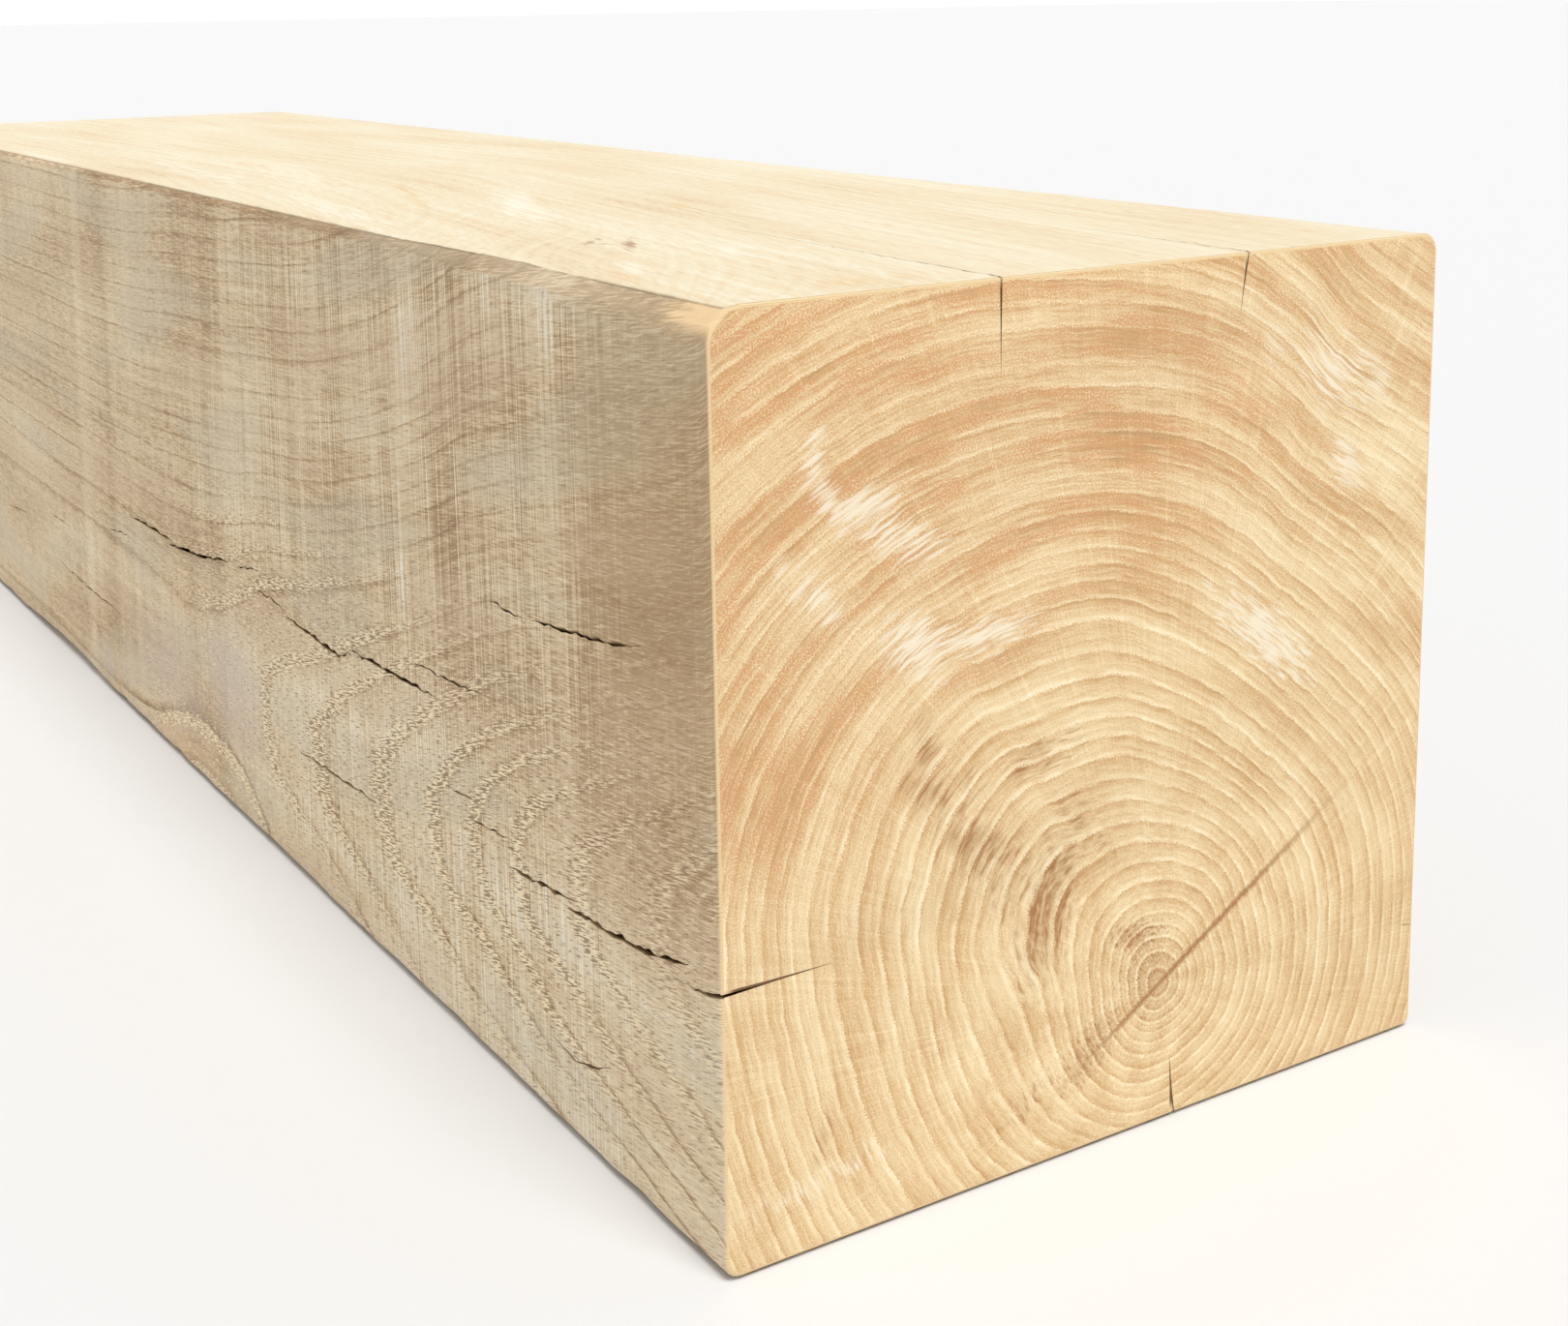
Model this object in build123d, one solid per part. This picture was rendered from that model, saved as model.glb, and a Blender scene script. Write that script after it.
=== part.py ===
from build123d import *
import os
from dataclasses import dataclass
from math import sqrt

# An oak beam: one length of boxed-heart timber, sawn square, with the seasoning checks it dried with.
# Millimetres. +X runs along the beam to its near end, -Y is its front face, +Z is up, and the origin
# is the middle of the face that the beam lies on.

# Stock size
LENGTH = 800.0
WIDTH = 200.0
HEIGHT = 200.0

# Rounding of the four long arrises, named by the faces that meet there
FRONT_TOP_ROUND = 3.5
BACK_TOP_ROUND = 4.5
FRONT_BOTTOM_ROUND = 3.0
BACK_BOTTOM_ROUND = 2.0

# Rounding of the sawn edges at both ends
END_ROUND = 0.8

# The heart of the tree, where the rings are centred
HEART_FROM_FRONT = 115.5
HEART_FROM_BOTTOM = 33.5

# How far a cutter stands out of the wood, so that it opens the surface cleanly
PROUD = 1.0


@dataclass
class Wane:
    """A long shallow hollow along an arris, where the log was not quite wide enough."""

    side: str
    level: str
    from_near_end: float
    length: float
    depth: float


@dataclass
class Check:
    """A seasoning check: a wedge that opens at a long face and closes at a keel inside the beam.

    The course lists places along and across the face. Along is the distance from the near end, or
    from the far end for a check that runs out there. Across is the height on the front and back
    faces, and the distance behind the centre line on the top and bottom faces. Aim is 1 where the
    keel points at the heart and 0 where it lies square to the face.
    """

    face: str
    mouth: float
    depth: float
    course: list
    aim: float = 1.0
    runs_out: str = ""


WANES = [
    Wane("front", "top", 0.0, 400.0, 3.4),
    Wane("front", "bottom", 525.0, 200.0, 2.8),
    Wane("back", "bottom", 610.0, 180.0, 2.4),
]

# The long broken line of checks along the front face
FRONT_UPPER_CHECKS = [
    Check("front", 1.1, 16.0, [(413, 76.8), (392, 77.9), (365, 78.9)]),
    Check("front", 1.4, 22.0, [(371, 76.8), (337, 79.0), (318, 82.9), (304, 84.7)]),
    Check("front", 0.7, 10.0, [(295, 85.7), (284, 86.9), (274, 88.5)]),
    Check("front", 0.8, 12.0, [(275, 81.8), (262, 82.1), (247, 80.9)]),
    Check("front", 1.5, 24.0, [(249, 79.5), (228, 79.3), (208, 78.9), (199, 81.9)]),
    Check("front", 1.3, 22.0, [(204, 81.7), (182, 83.3), (163, 84.5), (141, 85.6)]),
    Check("front", 0.7, 10.0, [(151, 91.2), (133, 92.3), (113, 94.0)]),
    Check("front", 0.6, 8.0, [(103, 119.1), (95, 118.6), (87, 118.7)]),
    Check("front", 1.2, 18.0, [(81, 119.6), (60, 122.0), (43, 124.0), (31, 126.4)]),
]

# The lower line on the front face, which reaches the near end, and the short ones around it
FRONT_LOWER_CHECKS = [
    Check("front", 0.9, 13.0, [(245, 39.8), (213, 41.8), (183, 43.2)]),
    Check("front", 0.6, 7.0, [(134, 63.7), (126, 64.5), (118, 65.4)]),
    Check("front", 0.6, 8.0, [(119, 59.7), (109, 60.9), (99, 62.1)]),
    Check("front", 1.2, 20.0, [(99, 55.1), (81, 56.6), (64, 58.8)]),
    Check("front", 1.6, 26.0, [(68, 55.9), (50, 57.5), (31, 59.6), (13, 63.8)]),
    Check("front", 1.2, 27.0, [(18, 58.7), (9, 60.1), (0, 61.8)], aim=0.0, runs_out="near"),
    Check("front", 0.9, 4.0, [(78, 20.8), (66, 19.8), (57, 21.9), (49, 25.7)], aim=0.0),
    Check("front", 0.8, 12.0, [(529, 36.4), (485, 35.1), (440, 35.3)]),
    Check("front", 0.6, 8.0, [(607, 43.7), (595, 44.7), (584, 45.5)]),
    Check("front", 0.6, 8.0, [(538, 54.0), (524, 54.6), (507, 55.0)]),
    Check("front", 0.5, 7.0, [(445, 66.7), (434, 68.0), (422, 69.1)]),
    Check("front", 1.0, 19.0, [(132, 49.5), (64, 46.9), (0, 45.5)], runs_out="far"),
]

# Checks that show at the top of the near end, and the split across the knot behind them
TOP_CHECKS = [
    Check("top", 0.6, 21.0, [(118, -24.5), (60, -27.5), (0, -30.0)], aim=0.0, runs_out="near"),
    Check("top", 0.7, 14.0, [(64, 42.5), (30, 40.5), (0, 39.0)], runs_out="near"),
    Check("top", 0.9, 5.0, [(113, -70.0), (106, -64.5), (98, -57.0)], aim=0.0),
]

# Checks on the back and on the underside, which lies nearest to the heart
HIDDEN_CHECKS = [
    Check("back", 0.7, 4.0, [(42, 27.2), (20, 26.6), (0, 26.0)], runs_out="near"),
    Check("back", 1.3, 22.0, [(336, 34.8), (290, 36.4), (246, 37.0), (214, 39.2)]),
    Check("back", 1.1, 18.0, [(418, 36.0), (385, 37.2), (352, 36.8), (330, 38.6)]),
    Check("back", 1.2, 24.0, [(176, 44.0), (90, 41.2), (0, 39.6)], runs_out="far"),
    Check("bottom", 1.3, 15.0, [(110, 18.0), (52, 19.6), (0, 21.0)], aim=0.5, runs_out="near"),
    Check("bottom", 1.2, 16.0, [(268, 13.0), (210, 14.8), (160, 13.6), (122, 15.2)]),
    Check("bottom", 1.0, 14.0, [(470, 17.4), (400, 15.0), (330, 16.2), (262, 14.4)]),
    Check("bottom", 1.1, 16.0, [(98, 21.0), (46, 19.0), (0, 18.2)], runs_out="far"),
]


def surface_point(face, x, across):
    """A point on a long face, from its place along the beam and across the face."""
    return {
        "front": Vector(x, -WIDTH / 2, across),
        "back": Vector(x, WIDTH / 2, across),
        "top": Vector(x, across, HEIGHT),
        "bottom": Vector(x, across, 0),
    }[face]


def inward_direction(check, point):
    """The way a check's keel lies from its mouth, between square to the face and at the heart."""
    square = {
        "front": Vector(0, 1, 0),
        "back": Vector(0, -1, 0),
        "top": Vector(0, 0, -1),
        "bottom": Vector(0, 0, 1),
    }[check.face]
    heart = Vector(point.X, HEART_FROM_FRONT - WIDTH / 2, HEART_FROM_BOTTOM)
    at_heart = (heart - point).normalized()
    return (square * (1 - check.aim) + at_heart * check.aim).normalized()


def course_points(check):
    """The middle of the mouth at each place of the course, in order."""
    if check.runs_out == "far":
        return [surface_point(check.face, along - LENGTH / 2, across) for along, across in check.course]
    return [surface_point(check.face, LENGTH / 2 - along, across) for along, across in check.course]


def opening_share(check, travelled):
    """How open the check is, as a share of its greatest mouth and depth.

    A check that runs out widens steadily to the end. Any other is open like an ellipse.
    """
    if check.runs_out:
        return travelled
    return sqrt(1 - (2 * travelled - 1) ** 2)


def wedge_section(check, point, share):
    """A triangle across the grain, with its keel in the wood and its mouth just proud of it."""
    inward = inward_direction(check, point)
    depth = check.depth * share
    half_mouth = check.mouth / 2 * share * (depth + PROUD) / depth
    aside = inward.cross(Vector(1, 0, 0)).normalized() * half_mouth
    rim = point - inward * PROUD
    return make_face(Polyline(rim + aside, point + inward * depth, rim - aside, close=True))


def check_cutter(check):
    """The wedge that a check takes out: triangles joined in a row, from a pointed tip."""
    points = course_points(check)
    run = points[-1].X - points[0].X
    stages = [Vertex(*(points[0] - inward_direction(check, points[0]) * PROUD / 2))]
    for point in points[1:-1]:
        stages.append(wedge_section(check, point, opening_share(check, (point.X - points[0].X) / run)))
    if check.runs_out:
        past_end = Vector(PROUD if run > 0 else -PROUD, 0, 0)
        stages.append(wedge_section(check, points[-1], 1.0))
        stages.append(wedge_section(check, points[-1] + past_end, 1.0))
    else:
        stages.append(Vertex(*(points[-1] - inward_direction(check, points[-1]) * PROUD / 2)))
    return loft(stages, ruled=True)


def wane_cutter(wane):
    """A drum laid across the arris, so large that it takes off only a long shallow hollow."""
    sideways = -1 if wane.side == "front" else 1
    upward = 1 if wane.level == "top" else -1
    outward = Vector(0, sideways, upward).normalized()
    corner_height = HEIGHT if wane.level == "top" else 0
    corner = Vector(LENGTH / 2 - wane.from_near_end, sideways * WIDTH / 2, corner_height)
    radius = wane.length**2 / (8 * wane.depth) + wane.depth / 2
    centre = corner + outward * (radius - wane.depth)
    drum_axis = outward.cross(Vector(1, 0, 0))
    return Plane(origin=centre, x_dir=(1, 0, 0), z_dir=drum_axis) * Cylinder(radius, 16 * wane.depth)


def sawn_blank():
    """The square section with its four rounded arrises, drawn out to length, its ends eased."""
    corners = [(-WIDTH / 2, 0), (WIDTH / 2, 0), (WIDTH / 2, HEIGHT), (-WIDTH / 2, HEIGHT)]
    rounds = [FRONT_BOTTOM_ROUND, BACK_BOTTOM_ROUND, BACK_TOP_ROUND, FRONT_TOP_ROUND]
    outline = make_face(FilletPolyline(*corners, radius=rounds, close=True))
    blank = extrude(Plane.YZ.offset(-LENGTH / 2) * outline, LENGTH)
    ends = blank.faces().sort_by(Axis.X)
    return fillet(ends[0].edges() + ends[-1].edges(), END_ROUND)


def beam():
    """The blank with its wane and its seasoning checks taken out."""
    checks = FRONT_UPPER_CHECKS + FRONT_LOWER_CHECKS + TOP_CHECKS + HIDDEN_CHECKS
    cutters = [wane_cutter(wane) for wane in WANES]
    cutters += [check_cutter(check) for check in checks]
    return sawn_blank() - cutters


os.makedirs("parts", exist_ok=True)
solid = beam()
export_step(solid, "parts/beam.step")
size = solid.bounding_box().size
print("beam", len(solid.solids()), "solid, valid", solid.is_valid)
print("size", round(size.X, 2), round(size.Y, 2), round(size.Z, 2), "volume", round(solid.volume))
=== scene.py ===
"""A length of sawn oak beam lying on a level floor, with the heart of the tree boxed inside it.

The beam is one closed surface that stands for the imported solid. Lengths here are millimetres, and only
the meshes are in metres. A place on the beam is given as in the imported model: X along it to the near
end, Y from the front face to the back face, and Z up. "From the end" is the distance back from the near
end, so it is half the length less X.
"""

import math
from dataclasses import dataclass

import bpy
import numpy as np
from bpy.props import FloatProperty, FloatVectorProperty, IntProperty, PointerProperty
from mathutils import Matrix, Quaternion, Vector


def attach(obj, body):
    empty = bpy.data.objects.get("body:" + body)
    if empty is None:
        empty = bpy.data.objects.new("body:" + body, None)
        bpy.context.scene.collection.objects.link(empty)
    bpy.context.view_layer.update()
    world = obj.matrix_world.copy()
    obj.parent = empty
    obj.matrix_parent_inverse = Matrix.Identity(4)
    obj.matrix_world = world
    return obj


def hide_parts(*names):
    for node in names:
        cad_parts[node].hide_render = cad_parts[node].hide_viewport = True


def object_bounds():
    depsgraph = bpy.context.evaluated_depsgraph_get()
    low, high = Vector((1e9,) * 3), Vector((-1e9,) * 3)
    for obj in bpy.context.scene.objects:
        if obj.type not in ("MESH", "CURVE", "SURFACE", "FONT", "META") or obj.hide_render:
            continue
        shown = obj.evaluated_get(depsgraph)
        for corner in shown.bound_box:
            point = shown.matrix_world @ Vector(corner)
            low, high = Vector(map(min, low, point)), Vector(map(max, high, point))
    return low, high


bl_info = {
    "name": "Sawn Oak Beam",
    "version": (1, 0, 0),
    "blender": (4, 5, 0),
    "location": "3D View > Sidebar > Oak Beam",
    "description": "Builds a rough sawn oak beam with growth rings, drying checks and a plain studio",
    "category": "Object",
}

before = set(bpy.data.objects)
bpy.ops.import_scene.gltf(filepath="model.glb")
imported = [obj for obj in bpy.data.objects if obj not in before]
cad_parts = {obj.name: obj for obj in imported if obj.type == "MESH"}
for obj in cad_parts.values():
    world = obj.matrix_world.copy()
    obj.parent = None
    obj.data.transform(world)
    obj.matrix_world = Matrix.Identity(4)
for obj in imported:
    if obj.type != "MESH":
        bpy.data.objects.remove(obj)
cad_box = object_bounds()
MM = 0.001
LENGTH, WIDTH, HEIGHT = [round((high - low) / MM, 3) for low, high in zip(*cad_box)]


def tone(red, green, blue):
    """A colour as Blender keeps it, from its three parts of 255 as a screen shows them."""
    parts = np.array([red, green, blue]) / 255
    return tuple(np.where(parts <= 0.04045, parts / 12.92, ((parts + 0.055) / 1.055) ** 2.4))


def millimetres(name, description, default):
    """A length that the panel shows, given here in millimetres."""
    return FloatProperty(name=name, description=description, default=default * MM, min=0,
                         precision=4, unit="LENGTH", subtype="DISTANCE")


def colour(name, description, red, green, blue):
    """A colour that the panel shows, given here as a tone."""
    return FloatVectorProperty(name=name, description=description, default=tone(red, green, blue),
                               size=3, min=0, max=1, subtype="COLOR")


def amount(name, description, default):
    """A plain number that the panel shows."""
    return FloatProperty(name=name, description=description, default=default, min=0)


class BeamShape(bpy.types.PropertyGroup):
    """Sizes of the beam's fine relief."""

    near_step: millimetres("Near Step", "Spacing of the sections at the near end", 2.0)
    far_step: millimetres("Far Step", "Spacing of the sections at the far end", 4.4)
    front_top_round: millimetres("Front Top Round", "Rounding between front and top", 3.5)
    back_top_round: millimetres("Back Top Round", "Rounding between back and top", 4.5)
    back_bottom_round: millimetres("Back Bottom Round", "Rounding between back and bottom", 2.0)
    front_bottom_round: millimetres("Front Bottom Round", "Rounding between front and bottom", 3.0)
    end_round: millimetres("End Round", "Rounding where the faces meet the ends", 0.8)
    face_wave: millimetres("Face Wave", "How far the sawn faces wander below flat", 0.35)
    saw_wave: millimetres("Saw Wave", "Height of the ripple that the saw left", 0.16)
    seed: IntProperty(name="Seed", description="Start of the random draws", default=7, min=0)


class OakColours(bpy.types.PropertyGroup):
    """Colours of the fresh end grain and the weathered sawn faces."""

    end_pore: colour("End Pore Line", "Open pores that start a year", 250, 230, 189)
    end_wood: colour("End Wood", "Middle of each year's growth", 233, 205, 158)
    end_late: colour("End Late Wood", "Last and densest wood of a year", 211, 170, 120)
    end_stain: colour("Heart Stain", "Brown stain near the heart", 168, 118, 72)
    end_chalk: colour("Chalky Spot", "Pale spots on the near end", 247, 233, 206)
    face_wood: colour("Face Wood", "Sawn faces in general", 221, 198, 162)
    face_light: colour("Face Light", "Pale bands and saw lines", 238, 222, 191)
    face_dark: colour("Face Dark", "Dense wood and shaded fibres", 175, 145, 109)
    face_gold: colour("Torn Grain", "Torn pores, fresh inside", 249, 230, 192)
    # Paler than the long faces: painted light on the top face, over its wood tone
    lit_top_wood: colour("Top Wood", "The top face, cleaner and brighter than the sides", 229, 215, 184)
    # Painted shade deep in the drying checks, with the dirt on their walls
    check_dirt_and_shade: colour("Check Wall", "Walls deep inside a drying check", 122, 88, 62)


class StudioSettings(bpy.types.PropertyGroup):
    """Floor, lamps and camera."""

    floor_colour: colour("Floor", "Plain pale floor", 226, 226, 226)
    key_strength: amount("Key Light", "Strength of the soft lamp", 2.38)
    fill_strength: amount("Fill Light", "Strength of the even light", 0.55)
    focal_length: amount("Focal Length", "Lens of the camera in millimetres", 49.09)


@dataclass
class Check:
    """A drying check: its mouth's width, its depth, and the points its mouth runs through.

    The points run towards the near end. Each is (from the end, place across), and the place is Z on an
    upright face and Y on a flat one. aim is how far the crack leans to the heart, from 0, straight in,
    to 1. open_end is the end of the beam where it runs out, if any: "near" or "far".
    """

    mouth: float
    depth: float
    course: tuple
    aim: float = 1.0
    open_end: str = ""


@dataclass
class Strand:
    """Checks that follow one another along a face, and points that guide the line between them."""

    checks: tuple
    guides: tuple = ()


@dataclass
class Face:
    """One long face: its corner, the way across it, the way inward, its strands and its plain rows.

    Strands come in order across the face. rows counts the plain rows before, between and after them.
    """

    corner: tuple
    across: tuple
    inward: tuple
    strands: tuple
    rows: tuple


# The heart on the near end, as Y and Z, and where its brown line points, in degrees up from the level
HEART = (15.5, 33.5)
HEART_LINE = 31

FRONT_STRANDS = (
    Strand((Check(0.9, 4, ((78, 20.8), (66, 19.8), (57, 21.9), (49, 25.7)), aim=0),)),
    Strand((
        Check(0.8, 12, ((529, 36.4), (485, 35.1), (440, 35.3))),
        Check(0.9, 13, ((245, 39.8), (213, 41.8), (183, 43.2))),
        Check(1.2, 27, ((18, 58.7), (9, 60.1), (0, 61.8)), aim=0, open_end="near"),
    ), guides=((104, 45.8), (68, 50.9), (31, 55))),
    Strand((
        Check(1, 19, ((800, 45.5), (736, 46.9), (668, 49.5)), open_end="far"),
        Check(0.6, 8, ((607, 43.7), (595, 44.7), (584, 45.5))),
        Check(1.6, 26, ((68, 55.9), (50, 57.5), (31, 59.6), (13, 63.8))),
    ), guides=((311, 48.2), (114, 50), (0, 66.9))),
    Strand((
        Check(0.6, 8, ((538, 54), (524, 54.6), (507, 55))),
        Check(1.2, 20, ((99, 55.1), (81, 56.6), (64, 58.8))),
    ), guides=((13, 68.4), (0, 71))),
    Strand((
        Check(0.5, 7, ((445, 66.7), (434, 68), (422, 69.1))),
        Check(0.6, 8, ((119, 59.7), (109, 60.9), (99, 62.1))),
    ), guides=((537, 63.1), (340, 64.9), (238, 62.6), (64, 64.9), (0, 75.6))),
    Strand((
        Check(1.5, 24, ((249, 79.5), (228, 79.3), (208, 78.9), (199, 81.9))),
        Check(0.6, 7, ((134, 63.7), (126, 64.5), (118, 65.4))),
    ), guides=(
        (536, 69.3), (414, 71.7), (371, 72.1), (308, 75.1), (275, 78.1), (170, 72.8), (62, 72.6),
        (0, 81.7),
    )),
    Strand((
        Check(0.8, 12, ((275, 81.8), (262, 82.1), (252, 81.3))),
        Check(1.3, 22, ((197, 83), (182, 83.7), (163, 84.5), (141, 85.6))),
    ), guides=((535, 73.4), (413, 74.2), (371, 74.7), (318, 79.7), (226, 81.7), (61, 91), (0, 99))),
    Strand((
        Check(1.4, 22, ((371, 76.8), (337, 79), (318, 82.9), (304, 84.7))),
        Check(0.7, 10, ((295, 85.7), (284, 86.9), (274, 88.5))),
        Check(0.7, 10, ((151, 91.2), (133, 92.3), (113, 94))),
    ), guides=((534, 77.5), (413, 75.9), (204, 90.7), (61, 99.1), (0, 106))),
    Strand((
        Check(1.1, 16, ((413, 77.2), (392, 78.1), (365, 79.1))),
        Check(0.6, 8, ((103, 119.1), (95, 118.6), (87, 118.7))),
        Check(1.2, 18, ((81, 119.6), (60, 122), (43, 124), (31, 126.4))),
    ), guides=((573, 85.8), (338, 82.8), (307, 89.9), (273, 93.9), (152, 107.3), (0, 130.9))),
)

TOP_STRANDS = (
    Strand((Check(0.9, 5, ((113, -70), (106, -64.5), (98, -57)), aim=0),)),
    Strand((Check(0.6, 21, ((118, -24.5), (60, -27.5), (0, -30)), aim=0, open_end="near"),)),
    Strand((Check(0.7, 14, ((64, 42.5), (30, 40.5), (0, 39)), open_end="near"),)),
)

BACK_STRANDS = (
    Strand((
        Check(1.1, 18, ((418, 36), (385, 37.2), (352, 37.4), (330, 39.2))),
    ), guides=((240, 42), (0, 35))),
    Strand((
        Check(1.2, 24, ((800, 39.6), (710, 41.2), (624, 44)), open_end="far"),
        Check(1.3, 22, ((336, 34.8), (290, 36.4), (246, 37), (214, 39.2))),
        Check(0.7, 4, ((42, 27.2), (20, 26.6), (0, 26)), open_end="near"),
    ), guides=((470, 32), (380, 32.5))),
)

BOTTOM_STRANDS = (
    Strand((
        Check(1, 14, ((470, 18.4), (400, 17), (330, 17.2), (262, 16.4))),
    ), guides=((150, 21), (0, 26))),
    Strand((
        Check(1.1, 16, ((800, 18.2), (754, 19), (702, 21)), open_end="far"),
        Check(1.2, 16, ((268, 13), (210, 14.8), (160, 13.6), (122, 15.2))),
        Check(1.3, 15, ((110, 18), (52, 19.6), (0, 21)), aim=0.5, open_end="near"),
    ), guides=((560, 15), (470, 14), (300, 13))),
)

FACES = (
    Face((-WIDTH / 2, 0), (0, 1), (1, 0), FRONT_STRANDS, (4, 5, 3, 2, 2, 2, 2, 2, 3, 21)),
    Face((-WIDTH / 2, HEIGHT), (1, 0), (0, -1), TOP_STRANDS, (8, 8, 14, 12)),
    Face((WIDTH / 2, HEIGHT), (0, -1), (-1, 0), BACK_STRANDS, (32, 2, 7)),
    Face((WIDTH / 2, 0), (-1, 0), (0, 1), BOTTOM_STRANDS, (17, 2, 24)),
)

# How wide each face is, in the same order
SIDES = (HEIGHT, WIDTH, HEIGHT, WIDTH)

# Wane on an arris: (number of the face that starts at it, middle, half length, depth on the diagonal)
WANES = ((1, 0, 200, 3.4), (0, 525, 100, 2.8), (3, 610, 90, 2.4))

# Steps of the mesh round an arris and over an end's edge, and the bend that is sharp, in degrees
ARRIS_STEPS = 6
END_STEPS = 4
SHARP_BEND = 38

# How many dents an arris has, and how deep below a face its wander still moves points
DENTS = 12
WANDER_REACH = 12


def ripple(along, across, wavelengths, count, draws):
    """Smooth random waves from -1 to 1: the mean of count sine waves of the two coordinates.

    Each has its own wavelength between the two given, a random direction and a random phase.
    """
    turns = draws.uniform(-0.6, 0.6, count)
    sizes = draws.uniform(*wavelengths, count)
    phases = draws.uniform(0, 2 * np.pi, count)
    waves = np.zeros(np.broadcast(along, across).shape)
    for turn, size, phase in zip(turns, sizes, phases):
        way = along * np.cos(turn) + across * np.sin(turn)
        waves = waves + np.sin(2 * np.pi * way / size + phase)
    return waves / count


def sections(shape):
    """Distances from the near end of the beam's cross-sections, and how far each is drawn in.

    The spacing grows evenly from near_step to far_step, so section i of n lies at near_step / growth *
    (ratio ** (i / n) - 1), where growth is the rise in spacing per millimetre. A quarter circle rounds
    the edge of each end: end_round * (1 - sin a) along the beam, drawn in by end_round * (1 - cos a).
    """
    near, far, edge = shape.near_step / MM, shape.far_step / MM, shape.end_round / MM
    span = LENGTH - 2 * edge
    growth = (far - near) / span
    count = round(math.log(far / near) / growth)
    middle = edge + near / growth * ((far / near) ** (np.arange(count + 1) / count) - 1)
    turn = np.radians(90 * np.arange(END_STEPS, 0, -1) / END_STEPS)
    rim, drawn = edge * (1 - np.sin(turn)), edge * (1 - np.cos(turn))
    from_end = np.concatenate([rim, middle, LENGTH - rim[::-1]])
    inset = np.concatenate([drawn, np.zeros(len(middle)), drawn[::-1]])
    return from_end, inset


def strand_line(face, strand, from_end):
    """Distance from the face's corner along a strand: straight runs through its points and guides."""
    points = [point for check in strand.checks for point in check.course]
    place = np.interp(from_end, *np.array(sorted([*points, *strand.guides])).T)
    return (place - np.dot(np.abs(face.across), face.corner)) * sum(face.across)


def strand_opening(strand, from_end):
    """Mouth width, depth and lean of a strand's checks along the beam.

    A closed check opens as the upper half of an ellipse over its course. One that runs out at an end
    opens evenly from nothing to its full width and depth there.
    """
    mouth, depth, aim = np.zeros((3, len(from_end)))
    for check in strand.checks:
        high, low = check.course[0][0], check.course[-1][0]
        inside = (from_end >= low) & (from_end <= high)
        part = np.clip((from_end - low) / (high - low), 0, 1)
        oval = np.sqrt(np.clip(1 - (2 * part - 1) ** 2, 0, 1))
        share = np.where(inside, {"near": 1 - part, "far": part, "": oval}[check.open_end], 0)
        mouth += check.mouth * share
        depth += check.depth * share
        aim += np.where(inside, check.aim, 0)
    return mouth, depth, aim


def arris_radius(base, from_end, draws):
    """Rounding along an arris: its set size, a slow swell of a quarter, and the small dents.

    A dent adds its size * exp(-(distance from its middle / width) squared).
    """
    radius = base * (1 + 0.25 * ripple(from_end, 0, (30, 160), 5, draws))
    middles = draws.uniform(10, LENGTH - 10, DENTS)
    sizes = draws.uniform(0.2, 1.3, DENTS)
    widths = draws.uniform(2.5, 7, DENTS)
    for middle, size, width in zip(middles, sizes, widths):
        radius = radius + size * np.exp(-(((from_end - middle) / width) ** 2))
    return radius


def face_rows(face, start, stop, from_end, draws):
    """The lines of points along one face, as columns of (place across, sideways shift, depth, lean).

    Seven lines follow each strand: two on the face, two on the rims of its checks, two on their walls
    and one in the keel. broken is the share that a mouth has of its width: it follows short waves and
    chance, and is full where the beam ends. Plain lines are spread evenly between strands, from start
    to stop, where the roundings begin. A strand too close to the last one is pushed aside.
    """
    least_half, beyond_rim, least_gap, near_an_end = 0.1, 0.35, 0.4, 3
    columns = []
    lower_edge = start
    for number, strand in enumerate(face.strands + (None,)):
        if strand is None:
            upper_edge = stop
        else:
            mouth, depth, aim = strand_opening(strand, from_end)
            centre = strand_line(face, strand, from_end)
            broken = 0.8 + 1.3 * ripple(from_end, 0, (3, 12), 7, draws)
            broken = broken + draws.normal(0, 0.14, len(from_end))
            at_end = np.abs(from_end - LENGTH / 2) > LENGTH / 2 - near_an_end
            broken = np.where(at_end, 1.05, broken)
            half = np.maximum(mouth / 2 * np.clip(broken, 0.1, 1.3), least_half)
            depth = depth * np.clip(broken + 0.5, 0.3, 1)
            centre = centre + np.where(depth > 0, draws.normal(0, 0.24, len(from_end)), 0)
            outer = half + beyond_rim + 0.25 * mouth
            if lower_edge is not start:
                centre = np.maximum(centre, lower_edge + outer + least_gap)
            upper_edge = centre - outer
        count = face.rows[number]
        share = np.arange(1, count + 1) / (count + 1)
        spread = lower_edge[:, None] + (upper_edge - lower_edge)[:, None] * share
        nothing = np.zeros_like(spread)
        columns.append((spread, nothing, nothing))
        if strand is None:
            break
        flat = np.zeros_like(depth)
        shifts = np.stack([-outer, -half, -0.5 * half, flat, 0.5 * half, half, outer], axis=1)
        depths = np.stack([flat, flat, 0.4 * depth, depth, 0.4 * depth, flat, flat], axis=1)
        lean = np.broadcast_to(aim[:, None], shifts.shape)
        columns.append((centre[:, None] + shifts, depths, lean))
        lower_edge = centre + outer
    return [np.concatenate(parts, axis=1) for parts in zip(*columns)]


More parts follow.
